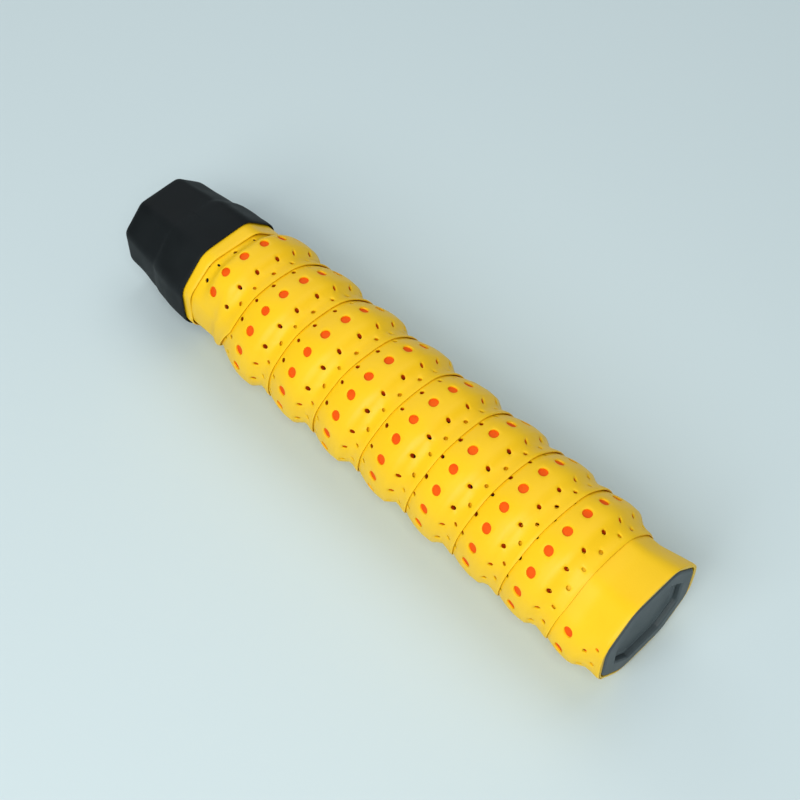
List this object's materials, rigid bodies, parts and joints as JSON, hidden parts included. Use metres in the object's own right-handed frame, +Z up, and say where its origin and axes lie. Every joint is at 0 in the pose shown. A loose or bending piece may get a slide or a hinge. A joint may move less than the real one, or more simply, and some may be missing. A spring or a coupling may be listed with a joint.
{
  "type": "racket grip tape on handle",
  "caption": "Ribbed, perforated grip tape wound over a moulded racket handle, with a rubber collar at the frame end and a recessed butt cap.",
  "frame": {"origin": "on the floor under the middle of the handle, lying on its wide side", "axes": "+X along the handle to the butt, +Z up from the floor, Y across the handle in the string plane"},
  "size_m": [0.1906, 0.0409, 0.038],
  "materials": {
    "pallet": "moulded black plastic, matt",
    "fastener": "zinc-plated steel",
    "butt_cap": "fine matt grain, slate grey",
    "base_grip": "black synthetic leather, matt",
    "overgrip_backing": "orange foam, matt",
    "overgrip_face": "satin yellow synthetic leather",
    "collar": "matt black rubber"
  },
  "bodies": {
    "handle": {"pallet_upper": "pallet", "pallet_lower": "pallet", "pallet_screw_1": "fastener", "pallet_screw_2": "fastener", "butt_cap": "butt_cap", "cap_staple_left": "fastener", "cap_staple_right": "fastener", "base_grip": "base_grip", "base_grip_staple": "fastener", "base_grip_tape": "base_grip", "overgrip_rib": "overgrip_backing", "overgrip_face": "overgrip_face", "finishing_tape": "overgrip_face"},
    "collar": {"collar": "collar"},
    "door": {"butt_door": "butt_cap"}
  },
  "joints": [
    {"name": "collar_slide", "type": "slide", "parent": "handle", "child": "collar", "axis": [-1, 0, 0], "range_m": [0, 0.03]},
    {"name": "door_pull", "type": "slide", "parent": "handle", "child": "door", "axis": [1, 0, 0], "range_m": [0, 0.012]}
  ]
}
